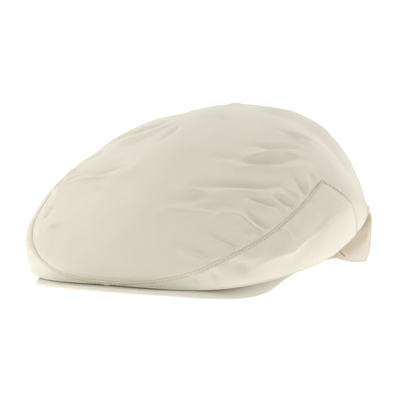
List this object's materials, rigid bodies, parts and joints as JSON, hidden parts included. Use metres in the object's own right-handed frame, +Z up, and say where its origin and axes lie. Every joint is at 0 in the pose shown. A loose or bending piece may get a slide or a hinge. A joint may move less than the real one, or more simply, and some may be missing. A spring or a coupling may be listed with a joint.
{
  "type": "flat cap",
  "caption": "Soft flat cap with a one-piece rounded crown, pointed side panels, a short stiff peak under the front edge and a cloth band round an open head hollow.",
  "frame": {"origin": "centre of the cap's outer box on the surface that it lies on", "axes": "+Z up, -Y towards the peak, +X towards the wearer's left"},
  "size_m": [0.2058, 0.272, 0.1049],
  "materials": {
    "crown_cloth": "matt proofed cotton, off-white",
    "peak_cloth": "matt proofed cotton over a stiff card, off-white",
    "band_cloth": "matt soft cotton, cream"
  },
  "bodies": {
    "root": {"top_panel": "crown_cloth", "side_panel_left": "crown_cloth", "side_panel_right": "crown_cloth", "peak": "peak_cloth", "head_band": "band_cloth"}
  },
  "joints": []
}
